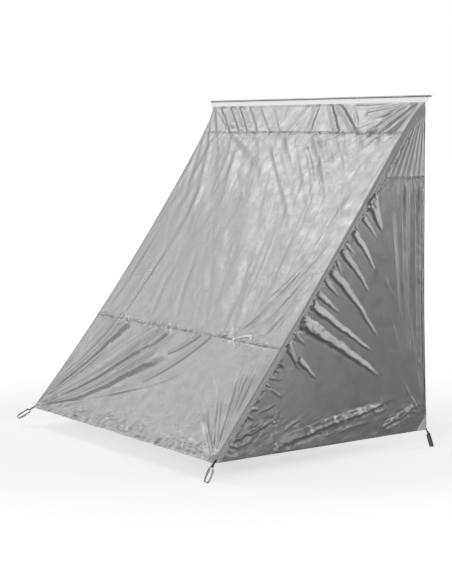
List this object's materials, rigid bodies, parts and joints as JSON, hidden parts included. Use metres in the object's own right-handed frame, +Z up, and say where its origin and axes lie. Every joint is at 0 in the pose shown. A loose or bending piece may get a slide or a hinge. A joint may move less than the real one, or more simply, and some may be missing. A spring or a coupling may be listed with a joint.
{
  "type": "tarp shelter",
  "caption": "Lean-to tarp shelter of silver coated cloth: a sloping front and triangular side walls hung by a beaded strip from an awning rail and pegged at the corners.",
  "frame": {"origin": "centre of the footprint at ground level, under the middle of the overall box", "axes": "+X along the rail to the right-hand wall, +Y to the open back, where the vehicle stands, +Z up"},
  "size_m": [2.102, 1.6435, 2.043],
  "materials": {
    "silver_cloth": "satin silver-grey coated cloth with a fine crinkle",
    "seam_tape": "pale grey sealed seam tape",
    "patch_cloth": "doubled grey cloth, cross-stitched",
    "white_strip": "white coated strip, softly glossy",
    "bead_plastic": "white extruded cord",
    "rail_metal": "mill-finish extrusion with fine draw lines",
    "pale_webbing": "off-white flat webbing, ribbed weave",
    "black_webbing": "black flat webbing, box-stitched",
    "tie_tape": "white twill tape"
  },
  "bodies": {
    "rail": {"awning_rail": "rail_metal"},
    "strip": {"bead_cord": "bead_plastic", "bead_sleeve_strip": "white_strip"},
    "skin": {"front_top_panel": "silver_cloth", "front_main_panel": "silver_cloth", "front_bottom_panel": "silver_cloth", "right_top_panel": "silver_cloth", "right_main_panel": "silver_cloth", "left_top_panel": "silver_cloth", "left_main_panel": "silver_cloth", "front_top_seam_tape": "seam_tape", "front_bottom_seam_tape": "seam_tape", "right_seam_tape": "seam_tape", "left_seam_tape": "seam_tape", "right_ridge_tape": "silver_cloth", "left_ridge_tape": "silver_cloth", "top_hem": "silver_cloth", "front_hem": "silver_cloth", "right_bottom_hem": "silver_cloth", "left_bottom_hem": "silver_cloth", "right_rear_hem": "silver_cloth", "left_rear_hem": "silver_cloth", "front_right_patch": "patch_cloth", "front_left_patch": "patch_cloth", "rear_right_patch": "patch_cloth", "rear_left_patch": "patch_cloth", "front_right_tab": "black_webbing", "front_left_tab": "black_webbing", "rear_right_tab": "black_webbing", "rear_left_tab": "black_webbing", "tie_anchor": "tie_tape"},
    "front_right_loop": {"front_right_peg_loop": "pale_webbing"},
    "front_left_loop": {"front_left_peg_loop": "pale_webbing"},
    "rear_right_loop": {"rear_right_peg_loop": "pale_webbing"},
    "rear_left_loop": {"rear_left_peg_loop": "pale_webbing"},
    "long_tie": {"tie_tape_long": "tie_tape"},
    "short_tie": {"tie_tape_short": "tie_tape"}
  },
  "joints": [
    {"name": "strip_slide", "type": "slide", "parent": "rail", "child": "strip", "axis": [1, 0, 0], "range_m": [-0.15, 0.15]},
    {"name": "skin_swing", "type": "hinge", "parent": "strip", "child": "skin", "pos_m": [0, 0.741, 2.0083], "axis": [-1, 0, 0], "range_deg": [0, 25]},
    {"name": "front_right_loop_swing", "type": "hinge", "parent": "skin", "child": "front_right_loop", "pos_m": [0.96533, -0.73457, 0.09412], "axis": [-0.9537, -0.3007, 0], "range_deg": [-60, 100]},
    {"name": "front_left_loop_swing", "type": "hinge", "parent": "skin", "child": "front_left_loop", "pos_m": [-0.96615, -0.73715, 0.09673], "axis": [-0.9537, 0.3007, 0], "range_deg": [-60, 100]},
    {"name": "rear_right_loop_swing", "type": "hinge", "parent": "skin", "child": "rear_right_loop", "pos_m": [1.02454, 0.78506, 0.09241], "axis": [0.9537, -0.3007, 0], "range_deg": [-60, 80]},
    {"name": "rear_left_loop_swing", "type": "hinge", "parent": "skin", "child": "rear_left_loop", "pos_m": [-1.02454, 0.78506, 0.09241], "axis": [0.9537, 0.3007, 0], "range_deg": [-60, 80]},
    {"name": "long_tie_swing", "type": "hinge", "parent": "skin", "child": "long_tie", "pos_m": [0.5204, -0.25029, 0.67696], "axis": [0, -0.6296, -0.7769], "range_deg": [0, 90]},
    {"name": "short_tie_swing", "type": "hinge", "parent": "skin", "child": "short_tie", "pos_m": [0.51736, -0.25549, 0.67054], "axis": [-0.6428, -0.4823, -0.5952], "range_deg": [0, 90]}
  ]
}
